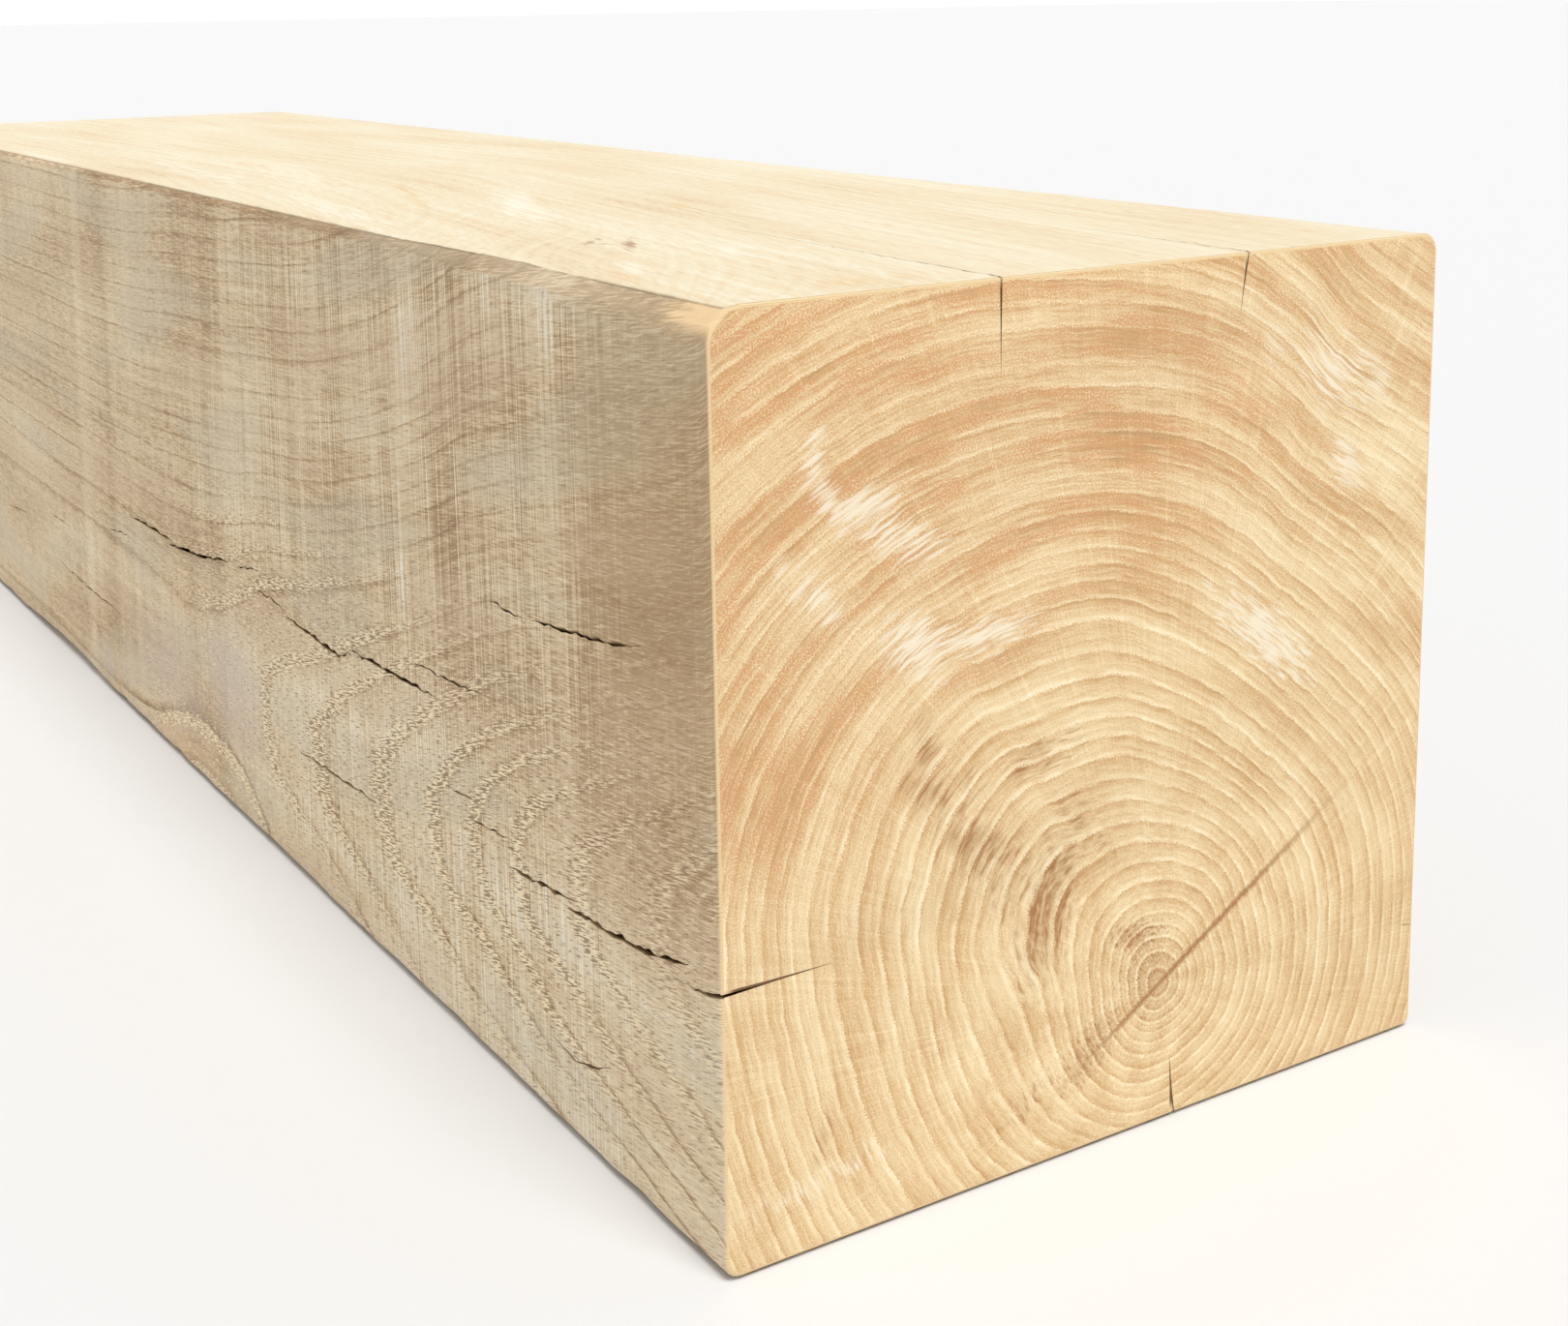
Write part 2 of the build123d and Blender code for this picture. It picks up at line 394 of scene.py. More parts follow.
def face_points(number, radii, from_end, draws):
    """The points of one arris and of the face after it, with their depth in a check and way round.

    The arris is a quarter circle about a middle one radius in from both faces. A point on the face is
    its corner + place across + depth * way, where way leans from straight in to the heart.
    """
    face = FACES[number]
    corner, across, inward = np.array([face.corner, face.across, face.inward], float)
    before = np.array(FACES[number - 1].inward, float)
    radius, radius_after = radii[number], radii[(number + 1) % 4]
    travelled = sum(SIDES[:number])
    middle = corner + radius[:, None, None] * (across + inward)
    turn = np.radians(90 * np.arange(ARRIS_STEPS + 1) / ARRIS_STEPS)
    curve = before * np.cos(turn)[:, None] + inward * np.sin(turn)[:, None]
    arc = middle - radius[:, None, None] * curve
    arc_way = travelled + radius[:, None] * (4 * turn / np.pi - 1)
    place, depth, lean = face_rows(face, radius, SIDES[number] - radius_after, from_end, draws)
    spot = corner + place[:, :, None] * across
    to_heart = np.array(HEART) - spot
    to_heart = to_heart / np.linalg.norm(to_heart, axis=2, keepdims=True)
    way = inward + lean[:, :, None] * (to_heart - inward)
    way = way / np.linalg.norm(way, axis=2, keepdims=True)
    arris = (arc, np.zeros(arc.shape[:2]), arc_way)
    return arris, (spot + depth[:, :, None] * way, depth, travelled + place)


def cut_wanes(y, z, from_end):
    """Presses what stands out over a plane across an arris back onto it.

    The plane lies 1 - (distance from the wane's middle / its half length) squared of its depth in.
    """
    for number, middle, half, size in WANES:
        corner = FACES[number].corner
        diagonal = np.add(FACES[number].inward, FACES[number - 1].inward) / math.sqrt(2)
        cut = size * np.clip(1 - ((from_end - middle) / half) ** 2, 0, None)[:, None]
        reach = (y - corner[0]) * diagonal[0] + (z - corner[1]) * diagonal[1]
        push = np.clip(cut - reach, 0, None)
        y, z = y + push * diagonal[0], z + push * diagonal[1]
    return y, z


def press_faces(y, z, from_end, shape, draws):
    """Presses the faces in by their slow wander and the bands of the saw's ripple.

    Both are waves of ripple, and fade by a smooth step to nothing WANDER_REACH below a face.
    """
    along = from_end[:, None]
    wander, saw = shape.face_wave / MM, shape.saw_wave / MM
    plain, moved = (y, z), [y, z]
    for axis, way_out, strength in ((0, -1, 1.0), (0, 1, 0.8), (1, -1, 0.7), (1, 1, 0.5)):
        position, other = plain[axis], plain[1 - axis]
        slow = ripple(along, other, (120, 420), 6, draws)
        bands = ripple(along, other * 0.08, (9, 34), 9, draws)
        press = wander * strength * (0.5 + 0.5 * slow) + saw * strength * (0.5 + bands)
        middle, half = ((0, WIDTH / 2), (HEIGHT / 2, HEIGHT / 2))[axis]
        share = np.clip(((position - middle) * way_out - half + WANDER_REACH) / WANDER_REACH, 0, 1)
        moved[axis] = moved[axis] - way_out * np.clip(press, 0, None) * share * share * (3 - 2 * share)
    return moved


def beam_surface(shape):
    """The beam's surface as a grid, in millimetres: one closed loop of points for each cross-section.

    The loop goes up the front, over the top, down the back and along the bottom. The rounded edges of
    the ends shrink the section about its middle. Returns each section's distance from the near end, and
    each point's Y, Z, depth in a check and share of the way round.
    """
    draws = np.random.default_rng(shape.seed)
    from_end, inset = sections(shape)
    names = ("front_bottom", "front_top", "back_top", "back_bottom")
    radii = [arris_radius(getattr(shape, name + "_round") / MM, from_end, draws) for name in names]
    parts = [part for number in range(4) for part in face_points(number, radii, from_end, draws)]
    points, depth, way_round = [np.concatenate(group, axis=1) for group in zip(*parts)]
    y, z = cut_wanes(points[:, :, 0], points[:, :, 1], from_end)
    y, z = press_faces(y, z, from_end, shape, draws)
    drawn = inset[:, None]
    y = y * (1 - drawn / (WIDTH / 2))
    z = HEIGHT / 2 + (z - HEIGHT / 2) * (1 - drawn / (HEIGHT / 2))
    way_round = (way_round - way_round[:, :1]) / (2 * WIDTH + 2 * HEIGHT)
    return from_end, y, z, depth, way_round


def bake_map(from_end, y, z, way_round):
    """Places on the flat map for each corner of each face, as the faces of beam_mesh list them.

    The map is 1024 by 1024. The long faces fill its left part as one sheet, 592 wide: section number to
    the right, way round upward. The two ends are squares of 412 at the right, one above the other.
    """
    count = len(from_end)
    gap, sheet, left, size, near_base, far_base = np.array([4, 592, 604, 412, 600, 150]) / 1024
    across = gap + sheet * np.arange(count) / (count - 1)
    up = gap + (1 - 2 * gap) * np.concatenate([way_round, np.ones((count, 1))], axis=1)
    place = np.stack([np.broadcast_to(across[:, None], up.shape), up], axis=2)
    corners = [place[:-1, :-1], place[:-1, 1:], place[1:, 1:], place[1:, :-1]]
    quads = np.stack(corners, axis=2).reshape(-1, 2)

    def square(section, base):
        right = left + size * (y[section] / WIDTH + 0.5)
        return np.stack([right, base + size * z[section] / HEIGHT], axis=1)

    return np.concatenate([quads, square(0, near_base)[::-1], square(-1, far_base)])


def beam_mesh(shape):
    """beam_surface as a mesh: four-sided faces between its sections, and one flat face an end."""
    from_end, y, z, depth, way_round = beam_surface(shape)
    count, rows = y.shape
    x = np.broadcast_to(LENGTH / 2 - from_end[:, None], y.shape)
    points = np.stack([x, y, z], axis=2).reshape(-1, 3) * MM
    number = np.arange(count * rows).reshape(count, rows)
    beside = np.roll(number, -1, axis=1)
    quads = np.stack([number[:-1], beside[:-1], beside[1:], number[1:]], axis=2).reshape(-1, 4)
    faces = quads.tolist() + [number[0, ::-1].tolist(), number[-1].tolist()]
    mesh = bpy.data.meshes.new("sawn_beam")
    mesh.from_pydata(points, [], faces)
    smooth = np.arange(len(faces)) < len(quads)
    mesh.polygons.foreach_set("use_smooth", smooth)
    mesh.polygons.foreach_set("material_index", (~smooth).astype(np.int32))
    mesh.set_sharp_from_angle(angle=math.radians(SHARP_BEND))
    inside = mesh.attributes.new("check_depth", "FLOAT", "CORNER")
    at_corners = np.concatenate([depth.ravel()[quads].ravel(), np.zeros(2 * rows)])
    inside.data.foreach_set("value", at_corners.astype(np.float32))
    layer = mesh.uv_layers.new(name="OFBake")
    layer.data.foreach_set("uv", bake_map(from_end, y, z, way_round).astype(np.float32).ravel())
    mesh.validate()
    mesh.update()
    return mesh


class Wire:
    """A value, vector or colour running through a material. Sums with it add the nodes for them."""

    def __init__(self, tree, socket):
        self.tree = tree
        self.socket = socket

    def node(self, kind, **settings):
        made = self.tree.nodes.new(kind)
        for key, value in settings.items():
            setattr(made, key, value)
        return made

    def plug(self, socket, value):
        if isinstance(value, Wire):
            self.tree.links.new(value.socket, socket)
        else:
            socket.default_value = (*value, 1) if socket.type == "RGBA" else value

    def fed(self, node, *values, **named):
        """The first output of a node whose inputs carry these values, in order or by name."""
        for socket, value in zip(node.inputs, values):
            self.plug(socket, value)
        for name, value in named.items():
            self.plug(node.inputs[name], value)
        return Wire(self.tree, node.outputs[0])

    def math(self, operation, *others):
        return self.fed(self.node("ShaderNodeMath", operation=operation), self, *others)

    def __add__(self, other):
        return self.math("ADD", other)

    def __sub__(self, other):
        return self.math("SUBTRACT", other)

    def __rsub__(self, other):
        return self * -1 + other

    def __mul__(self, other):
        return self.math("MULTIPLY", other)

    def __truediv__(self, other):
        return self.math("DIVIDE", other)

    __radd__ = __add__

    def step(self, low, high, to_low=0, to_high=1):
        """A smooth step: to_low where the value is at or below low, to_high at or above high."""
        if high < low:
            low, high, to_low, to_high = high, low, to_high, to_low
        made = self.node("ShaderNodeMapRange", interpolation_type="SMOOTHSTEP", clamp=True)
        return self.fed(made, self, low, high, to_low, to_high)

    def curve(self, table, low, high):
        """A smooth curve through (value, result) pairs whose results lie between low and high."""
        start = table[0][0]
        span, rise = table[-1][0] - start, high - low
        places = [((value - start) / span, (result - low) / rise) for value, result in table]
        made = self.node("ShaderNodeFloatCurve")
        points = made.mapping.curves[0].points
        points[0].location = places[0]
        points[1].location = places[-1]
        for place in places[1:-1]:
            points.new(*place)
        made.mapping.update()
        return self.fed(made, Value=(self - start) / span) * rise + low

    def ramp(self, *stops):
        """A colour ramp through (place, colour) stops. A single number stands for a grey."""
        made = self.node("ShaderNodeValToRGB")
        elements = made.color_ramp.elements
        while len(elements) < len(stops):
            elements.new(0.5)
        for element, (place, shade) in zip(elements, stops):
            element.position = place
            element.color = (*shade, 1) if hasattr(shade, "__len__") else (shade, shade, shade, 1)
        return self.fed(made, self)

    def mix(self, start, stop, kind="RGBA", first=6, result=2):
        """From start to stop by this value's share, as colours. first and result number the sockets."""
        made = self.node("ShaderNodeMix", data_type=kind, clamp_factor=True)
        self.fed(made, self)
        self.plug(made.inputs[first], start)
        self.plug(made.inputs[first + 1], stop)
        return Wire(self.tree, made.outputs[result])

    def blend(self, start, stop):
        """From start to stop by this value's share, as numbers."""
        return self.mix(start, stop, "FLOAT", 2, 0)

    def vector(self, y, z=0):
        """The vector of this value, y and z."""
        return self.fed(self.node("ShaderNodeCombineXYZ"), self, y, z)

    def split(self):
        """The X, Y and Z of this vector."""
        made = self.node("ShaderNodeSeparateXYZ")
        self.fed(made, self)
        return [Wire(self.tree, socket) for socket in made.outputs]

    def noise(self, detail=0, roughness=0.5, dimensions="2D"):
        """Smooth random value, mostly from 0.25 to 0.75, with one patch to a unit of this vector."""
        made = self.node("ShaderNodeTexNoise", noise_dimensions=dimensions)
        return self.fed(made, Vector=self, Scale=1, Detail=detail, Roughness=roughness)

    def dice(self):
        """A fresh random value from 0 to 1 for each value."""
        return self.fed(self.node("ShaderNodeTexWhiteNoise", noise_dimensions="1D"), W=self)


# The path of the heart, by distance from the near end: how far behind the front face, and how high
HEART_BEHIND_FRONT = (
    (0, 115.5), (16, 117.6), (45, 121), (77, 124.4), (108, 128.1), (140, 132), (184, 137.9),
    (224, 143.1), (265, 147.2), (336, 154.5), (415, 152.2), (520, 152.2), (800, 151.2),
)
HEART_HEIGHT = ((0, 33.5), (800, 38))

# How far the rings are carried up near the front face, by distance from the near end: at every
# height, and how much more high above the heart
RING_LIFT = (
    (0, 0), (16, 3), (45, 7.5), (77, 12.5), (108, 17.5), (140, 25.4), (184, 33.9), (224, 38.6),
    (265, 41.1), (336, 44), (415, 50.7), (520, 51.1), (800, 51.1),
)
HIGH_RING_LIFT = (
    (0, 0), (45, 5.5), (108, 7.3), (184, 10.1), (265, 8.7), (336, 5.7), (415, 5.6), (800, 5.6),
)

# Radius of a ring by direction, from +Y turning up, as a share of its round size: near the heart, at
# about 84 mm, and from 144 mm out
INNER_RINGS = (
    (0, 0.85), (20, 0.83), (45, 0.9), (70, 0.97), (90, 1.02), (120, 1.09), (150, 0.96),
    (180, 0.8), (215, 0.78), (250, 0.8), (290, 0.8), (330, 0.84), (360, 0.85),
)
MIDDLE_RINGS = (
    (0, 0.88), (30, 0.886), (50, 0.87), (65, 0.9), (75, 0.95), (90, 1.06), (100, 1.156),
    (120, 1.29), (130, 1.36), (150, 1.3), (165, 1.17), (180, 1.06), (200, 0.98), (215, 0.95),
    (250, 0.85), (290, 0.82), (330, 0.88), (360, 0.88),
)
OUTER_RINGS = (
    (0, 0.9), (30, 0.86), (50, 0.9), (65, 0.9), (75, 0.95), (83, 1), (100, 1.07), (112, 1.13),
    (125, 1.18), (140, 1.2), (150, 1.18), (165, 1.1), (180, 1), (200, 0.95), (215, 0.95),
    (250, 0.85), (290, 0.82), (330, 0.9), (360, 0.9),
)

# Mean width of a year, and how many years ahead of it the tree was, by radius
RING_WIDTH = 4.2
RING_DRIFT = (
    (0, 0), (11, 0.38), (20.5, 1.12), (33, 1.14), (45.5, 1.17), (54, 1.14), (62, 1.24),
    (71.5, 0.98), (83, 0.24), (95.5, 0.4), (104.5, 0.26), (113.8, 0.04), (121, 0.33),
    (124.2, 0.57), (134.7, 0.07), (139, 0.02), (146.9, -0.9), (156.5, -1.12), (165.5, -1.26),
    (177.1, -1.03), (189.5, -1.98), (200, -2.48), (213.4, -2.67), (232, -4.1), (260, -5.8),
)

# The brightest wood of the ends, the long faces and the top, and the tints of single marks
END_GLEAM = tone(254, 242, 212)
END_RUDDY = tone(216, 156, 106)
FACE_GLEAM = tone(246, 239, 222)
GREY_TINT = tone(205, 195, 172)
PINK_TINT = tone(211, 185, 155)
LILAC_TINT = tone(212, 196, 184)
BROWN_TINT = tone(194, 164, 122)
GOLD_TINT = tone(236, 202, 158)
CORNER_TINT = tone(238, 206, 160)
# Painted shade in the gaps between torn fibres
TORN_SHADE = tone(134, 104, 76)
# The top's tones are paler than those of the long faces: painted light on the top face
TOP_GLEAM = tone(236, 230, 210)
TOP_SHADE = tone(224, 203, 168)
TOP_DARK = tone(202, 174, 134)
TAN_STREAK = tone(224, 194, 148)
KNOT_BROWN = tone(176, 146, 112)

# Marks on the near end: (Y, Z, half length, half width, tilt in degrees, strength)
CHALK_SPOTS = (
    (-76, 168, 5, 2.5, 80, 0.82), (-72, 158, 8, 3, 118, 0.69), (-64, 156.5, 9, 3.2, 12, 0.82),
    (-54, 148.5, 11, 5, 160, 0.52), (-52, 126, 9, 6, 150, 0.82), (-34, 125, 12, 3.6, 3, 0.77),
    (46.5, 111, 17, 6, 141, 0.82), (66, 171, 19, 9, 150, 0.47), (81, 166, 6, 5, 120, 0.52),
    (71.5, 148, 6.5, 4, 110, 0.73), (-76, 140, 10, 4, 140, 0.43), (-78, 15, 22, 3, 8, 0.34),
)
STAIN_SPOTS = (
    (-49, 103, 8, 4, 95, 0.68), (-49, 94, 9, 5, 140, 0.68), (-36, 78.5, 12, 6, 145, 0.9),
    (-17, 60, 16, 7, 75, 1.08), (-20, 95, 13, 5, 10, 0.54), (9, 47, 9, 4, 175, 0.81),
    (13, 36, 12, 9, 120, 0.63), (-4, 24, 13, 6, 40, 0.68), (-22, 16, 9, 4, 40, 0.45),
    (-8, 78, 14, 5, 130, 0.41), (-76, 24, 9, 2.5, 70, 0.45), (-42, 88, 21, 11, 130, 0.36),
    (-25, 66, 21, 11, 125, 0.38),
)


class Oak:
    """The coordinates, rings and masks that the parts of the oak material share.

    sideways and upward are measured from the heart, and plain is the distance from it. even is that
    distance in a perfectly round tree, and year counts the rings out to it. Its whole part gives luck,
    a random value of the year, and its fraction is part, how far through the year a point lies.
    """

    def __init__(self, tree):
        place = tree.nodes.new("ShaderNodeTexCoord").outputs
        x, y, z = [part * (1 / MM) for part in Wire(tree, place["Object"]).split()]
        _, backward, self.rise = Wire(tree, place["Normal"]).split()
        attribute = tree.nodes.new("ShaderNodeAttribute")
        attribute.attribute_name = "check_depth"
        self.check_depth = Wire(tree, attribute.outputs["Fac"])
        self.y, self.z = y, z
        self.from_end = LENGTH / 2 - x
        # An end's skin fades in between these depths.
        inner, outer = 0.45, 0.15
        self.near_end = self.from_end.step(inner, outer)
        self.ends = x.math("ABSOLUTE").step(LENGTH / 2 - inner, LENGTH / 2 - outer)
        self.front = backward.step(-0.25, -0.45)
        self.top = self.rise.step(0.82, 0.96) * z.step(HEIGHT - 8, HEIGHT - 6)
        self.sideways = y - (self.from_end.curve(HEART_BEHIND_FRONT, 110, 160) - WIDTH / 2)
        above = z - self.from_end.curve(HEART_HEIGHT, 30, 40)
        lift = self.from_end.curve(RING_LIFT, 0, 60)
        lift = lift + self.from_end.curve(HIGH_RING_LIFT, 0, 12) * above.step(10, 130)
        self.upward = above + lift * self.sideways.step(-30, -100)
        self.plain = (self.sideways * self.sideways + self.upward * self.upward).math("SQRT")
        self.right, self.up = self.sideways / self.plain, self.upward / self.plain
        self.even = self.ring_radius()
        # Turn is counted from the brown line through the heart, so that the seam in it lies there.
        line = math.radians(HEART_LINE)
        self.beside_line = self.upward * math.cos(line) - self.sideways * math.sin(line)
        self.along_line = self.sideways * math.cos(line) + self.upward * math.sin(line)
        self.turn = self.beside_line.math("ARCTAN2", self.along_line).math("WRAP", 2 * math.pi, 0)
        year = self.even / RING_WIDTH + self.even.curve(RING_DRIFT, -6, 2)
        self.part, self.luck = year.math("FRACT"), year.math("FLOOR").dice()
        level = self.rise.math("ABSOLUTE").step(0.8, 0.9)
        self.fine = level.blend(above + lift * 0.55, self.sideways)
        self.across = level.blend(z, y)

    def grain(self, along, across):
        """A vector that counts patches of a length along the grain and a width across it."""
        return (self.from_end / along).vector(self.sideways / across, self.upward / across)

    def face_noise(self, along, across, detail=1, roughness=0.5):
        """Noise on the long faces, in patches that follow the fibres."""
        return (self.from_end / along).vector(self.fine / across).noise(detail, roughness)

    def ring_noise(self, turns, thickness, detail=1, roughness=0.5):
        """Noise in patches that follow the rings: so many to a radian, and so thick across a ring."""
        return (self.turn * turns).vector(self.even / thickness).noise(detail, roughness)

    def ring_radius(self):
        """A point's radius, bent by noise, over the shape that its ring has in that direction."""
        slow = (self.grain(220, 24).noise(0, dimensions="3D") - 0.5) * 0.8
        quick = (self.grain(90, 5.5).noise(1, dimensions="3D") - 0.5) * 1.2
        radius = self.plain + (slow + quick) * (self.plain / (self.plain + 7))
        turn = self.upward.math("ARCTAN2", self.sideways).math("WRAP", 2 * math.pi, 0).math("DEGREES")
        tables = (INNER_RINGS, MIDDLE_RINGS, OUTER_RINGS)
        inner, middle, outer = [turn.curve(table, 0.7, 1.5) for table in tables]
        inside = self.plain.step(20, 60).blend(inner, middle)
        return radius / self.plain.step(84, 144).blend(inside, outer)


def spots(right, up, marks, rough):
    """The strongest of several soft oval spots, with ragged edges, on a face that right and up cover.

    Each is the cap of a stretched ball, fading from 0.3 of its unit out to edge. A weaker one's ball
    lies further off the face.
    """
    place = right.vector(up)
    edge = 1.4
    nearest = None
    for middle_right, middle_up, length, width, tilt, strength in marks:
        ball = place.fed(
            place.node("ShaderNodeMapping", vector_type="TEXTURE"),
            Vector=place,
            Location=(middle_right, middle_up, 1.1 * strength - edge),
            Rotation=(0, 0, math.radians(tilt)),
            Scale=(length, width, 1),
        )
        size = place.node("ShaderNodeVectorMath", operation="LENGTH")
        place.fed(size, ball)
        size = Wire(place.tree, size.outputs["Value"])
        nearest = size if nearest is None else nearest.math("MINIMUM", size)
    return (nearest + rough).step(edge, 0.3)


def end_grain(oak, colours):
    """Colour and relief of the two ends.

    Each year starts with a pale line of open pores and darkens to its close. Over that lie threads and
    bands along the rings, rays from the heart outward, and the speckle of the cut fibres. The near end
    has chalky spots, brown stains and a dark line through its heart.
    """
    speckle = (oak.y / 0.42).vector(oak.z / 0.42).noise(1, 0.75)
    wavy = oak.part + (speckle - 0.5) * 0.3
    year = wavy.ramp(
        (0, 0.34), (0.06, 0.78), (0.17, 0.84), (0.3, 0.56), (0.44, 0.46), (0.56, 0.6), (0.68, 0.46),
        (0.92, 0.28), (1, 0.24),
    )
    thread = oak.ring_noise(13, 0.55, 2, 0.65)
    band = oak.ring_noise(3.2, 9, 0)
    patch = oak.ring_noise(8, 2.4, 1, 0.7)
    rays = (oak.turn * 95).vector(oak.plain / 24).noise(1, 0.6)
    outer = oak.plain.step(78, 125) * oak.up.step(0.2, 0.65)
    clear = patch.step(0.3, 0.66, 0.4, 1.15)
    ruddy_side = outer * oak.right.step(0.6, -0.1)
    lightness = (
        0.52
        + (year - 0.5) * oak.luck.blend(0.55, 1) * clear * outer.blend(0.88, 0.66)
        + (thread - 0.5) * outer.blend(0.4, 0.66)
        + (band - 0.5) * outer.blend(0.3, 0.5)
        + (speckle - 0.5) * outer.blend(0.52, 0.62)
        + (rays - 0.5) * 0.17
        + rays.step(0.71, 0.78) * 0.05
        - ruddy_side * 0.09
    )
    end = lightness.ramp(
        (0, colours.end_late * 0.76),
        (0.26, colours.end_late),
        (0.52, colours.end_wood),
        (0.82, colours.end_pore),
        (1, END_GLEAM),
    )
    ruddy = patch.step(0.6, 0.38) * band.step(0.66, 0.44)
    ruddy = ruddy * (outer.blend(0.1, 0.22) + ruddy_side * 0.26) + ruddy_side * 0.15
    end = (ruddy * speckle.step(0.6, 0.4, 0.15, 1.45)).mix(end, END_RUDDY)
    rough = (oak.ring_noise(14, 0.8) - 0.5) * 2.6
    chalk = spots(oak.y, oak.z, CHALK_SPOTS, rough) * oak.near_end
    stain = spots(oak.y, oak.z, STAIN_SPOTS, rough * 0.55)
    stain = stain * (year * -1.3 + 1.3) * (thread * -2.4 + 2.15)
    # The brown line through the heart fades out 44 mm below it and 77 mm above.
    heart_line = (oak.beside_line.math("ABSOLUTE") + rough * 0.5).step(1.5, 0)
    heart_line = heart_line * oak.along_line.step(-44, -4, 0, 0.9) * oak.along_line.step(77, 26)
    stain = stain.math("MAXIMUM", heart_line) * oak.near_end
    end = stain.math("MINIMUM", 0.92).mix(end, colours.end_stain)
    end = chalk.mix(end, colours.end_chalk)
    return end, (speckle - 0.5) * 0.13


# Saw bands on the front: (from the end, how much lighter)
SAW_SHADES = (
    (0, 0), (56, 0), (68, 0.1), (80, -0.02), (90, -0.03), (96, -0.11), (102, -0.03), (114, -0.13),
    (134, -0.12), (142, -0.01), (152, 0.06), (166, -0.01), (176, 0.02), (186, -0.03), (236, -0.03),
    (250, -0.09), (266, -0.03), (280, -0.01), (292, 0.04), (304, -0.03), (318, -0.11), (328, -0.03),
    (345, -0.08), (356, -0.02), (396, 0), (405, 0.06), (414, 0), (428, 0), (440, -0.1),
    (452, -0.02), (466, 0.02), (473, 0.12), (481, 0), (500, 0),
)

# Marks on the front: (from the end, height, half length, half height, tilt in degrees, strength)
FRONT_LILAC = (
    (305, 42, 36, 30, 20, 0.55), (380, 30, 60, 22, 0, 0.5), (455, 12, 40, 9, 0, 0.45),
)
FRONT_BROWN = (
    (12, 146, 66, 84, 0, 0.85), (61, 87, 3, 7, 0, 0.5), (378, 147, 3.5, 2.5, 0, 0.6),
    (430, 103.5, 3, 2.5, 0, 0.7),
)
FRONT_GOLD = (
    (352, 2, 60, 11, 0, 0.5), (447, 14, 16, 6, 80, 0.4), (515, 12, 16, 6, 0, 0.3),
    (432, 42, 14, 8, 0, 0.25),
)

# Marks on the top: (from the end, Y, half length, half width, tilt in degrees, strength)
TOP_PALE = (
    (206, -40, 52, 7, 21, 0.8), (78, -47, 12, 4, 30, 0.6), (60, -82, 12, 4, 12, 0.6),
    (400, -72, 90, 8, 4, 0.5), (238, -84, 60, 5, 6, 0.6), (140, -62, 8, 3, 20, 0.5),
)
TOP_TAN = (
    (216, -29, 22, 2.5, 21, 0.7), (262, -50, 42, 2.5, 18, 0.6), (352, 0, 30, 14, 10, 0.25),
    (50, -90, 12, 3, 5, 0.5), (170, -56, 22, 2.5, 20, 0.45), (318, -54, 26, 5, 8, 0.3),
    (12, -52, 22, 9, 90, 0.35), (180, -4, 9, 3.5, 20, 0.7), (154, 41, 14, 3.5, 10, 0.35),
    (282, -15, 20, 3, 10, 0.35), (420, -45, 26, 4, 5, 0.4), (325, 13, 18, 3, 20, 0.3),
)
TOP_BROWN = ((103, -60.5, 11, 1.6, 28, 0.75), (113, -65.5, 7, 1.3, 40, 0.6))


def wood_tones(lightness, colours):
    """The face colours by lightness."""
    return lightness.ramp(
        (0, colours.face_dark * 0.7),
        (0.25, colours.face_dark),
        (0.52, colours.face_wood),
        (0.85, colours.face_light),
        (1, FACE_GLEAM),
    )


def front_grain(oak, colours, lightness, flat, lean):
    """The front: its saw bands and tints, and the early wood that the saw tore open.

    Torn fibres are short dashes along the grain: gold fresh wood, and painted brown shade in the gaps.
    They crowd in the early wood of the lower part, and lie scattered elsewhere.
    """
    along, z = oak.from_end, oak.z
    high = z.step(60, 150, 0.5, 1).math("MAXIMUM", along.step(270, 320))
    lightness = lightness + lean.curve(SAW_SHADES, -0.15, 0.15) * high
    low = z.step(95, 45) * along.step(330, 260)
    ragged = (flat - 0.5) * 0.8
    brown = spots(along, z, FRONT_BROWN, ragged)
    arris = oak.rise.step(0.05, 0.6)
    face = wood_tones(lightness + low * 0.13 - brown * 0.24 - arris * 0.25, colours)
    hue = oak.face_noise(85, 24, 0)
    face = hue.step(0.5, 0.72, 0, 0.35).mix(face, GREY_TINT)
    face = hue.step(0.48, 0.28, 0, 0.3).mix(face, PINK_TINT)
    lilac = spots(along, z, FRONT_LILAC, ragged)
    face = lilac.mix(face, LILAC_TINT)
    face = (brown * 0.5).mix(face, BROWN_TINT)
    face = spots(along, z, FRONT_GOLD, ragged).mix(face, GOLD_TINT)
    wavy = oak.part + (flat - 0.5) * 0.3
    pores = wavy.ramp((0, 0.4), (0.05, 1), (0.18, 0.9), (0.34, 0), (0.96, 0), (1, 0.4))
    slope = (along / 3.8).vector((oak.fine + along * 0.15) / 0.46)
    dash = slope.noise(1, 0.6)
    arch = along.step(262, 300) * along.step(412, 385) * z.step(27, 21)
    zone = z.step(132, 74) * z.step(10, 32, 0.4, 1)
    zone = zone * along.step(390, 280, 0.1, 1) * along.step(20, 80, 0.6, 1)
    zone = (zone * (1 - lilac * 1.2)).math("MAXIMUM", arch * 1.2)
    crowd = pores * zone * hue.step(0.35, 0.6, 0.75, 1.1)
    torn = (dash + crowd * 0.24).step(0.65, 0.72)
    # Painted shade in the gaps between the torn fibres
    gap = (dash - crowd * 0.18).step(0.365, 0.29)
    face = (torn * zone.blend(0.3, 0.95)).mix(face, colours.face_gold)
    face = (gap * zone.blend(0.3, 0.75) * (1 - arch * 0.6)).mix(face, TORN_SHADE)
    corner = arris * (along + (flat - 0.5) * 30).step(22, 10)
    return (corner * 0.9).mix(face, CORNER_TINT)


